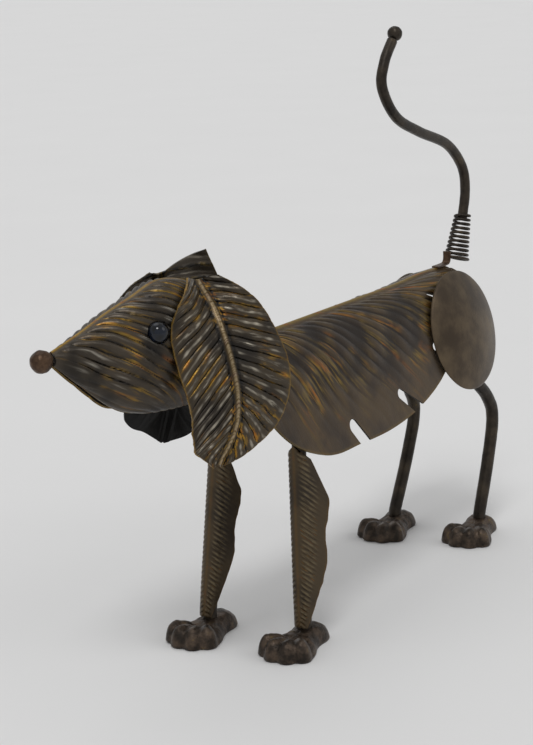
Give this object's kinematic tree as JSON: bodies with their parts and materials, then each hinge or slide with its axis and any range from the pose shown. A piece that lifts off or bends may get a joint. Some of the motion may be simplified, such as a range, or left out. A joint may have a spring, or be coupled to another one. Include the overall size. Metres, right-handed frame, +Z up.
{
  "type": "leaf metal dog figure",
  "caption": "Standing dog figure of pressed steel leaves and bent rod, with flap ears, pointed snout, clawless cast paws and an S-shaped tail on a coil spring.",
  "frame": {"origin": "on the floor, at the middle of the figure's box in plan", "axes": "+Z up, -Y towards the nose, +X to the dog's left side"},
  "size_m": [0.0918, 0.4092, 0.3275],
  "materials": {
    "bronze_leaf": "dark brown bronze-like paint over steel, gold rubbed on the veins, satin",
    "satin_brown_plate": "warm brown satin paint over steel, gold rubbed on the veins",
    "dark_iron_rod": "near black satin paint over steel rod",
    "cast_paw": "dark brown paint over rough casting",
    "eye_glass": "polished blue black"
  },
  "bodies": {
    "root": {"body_leaf": "satin_brown_plate", "left_haunch_disc": "satin_brown_plate", "right_haunch_disc": "satin_brown_plate", "left_fore_leg": "dark_iron_rod", "right_fore_leg": "dark_iron_rod", "left_hind_leg": "dark_iron_rod", "right_hind_leg": "dark_iron_rod", "left_fore_paw": "cast_paw", "right_fore_paw": "cast_paw", "left_hind_paw": "cast_paw", "right_hind_paw": "cast_paw", "left_leg_leaf": "bronze_leaf", "right_leg_leaf": "bronze_leaf", "snout_leaf": "bronze_leaf", "left_ear": "bronze_leaf", "right_ear": "bronze_leaf", "left_eye": "eye_glass", "right_eye": "eye_glass", "nose_ball": "dark_iron_rod", "neck_rod": "dark_iron_rod", "tail_spring": "dark_iron_rod", "tail_rod": "dark_iron_rod", "tail_ball": "dark_iron_rod", "tail_bracket": "dark_iron_rod"}
  },
  "joints": []
}
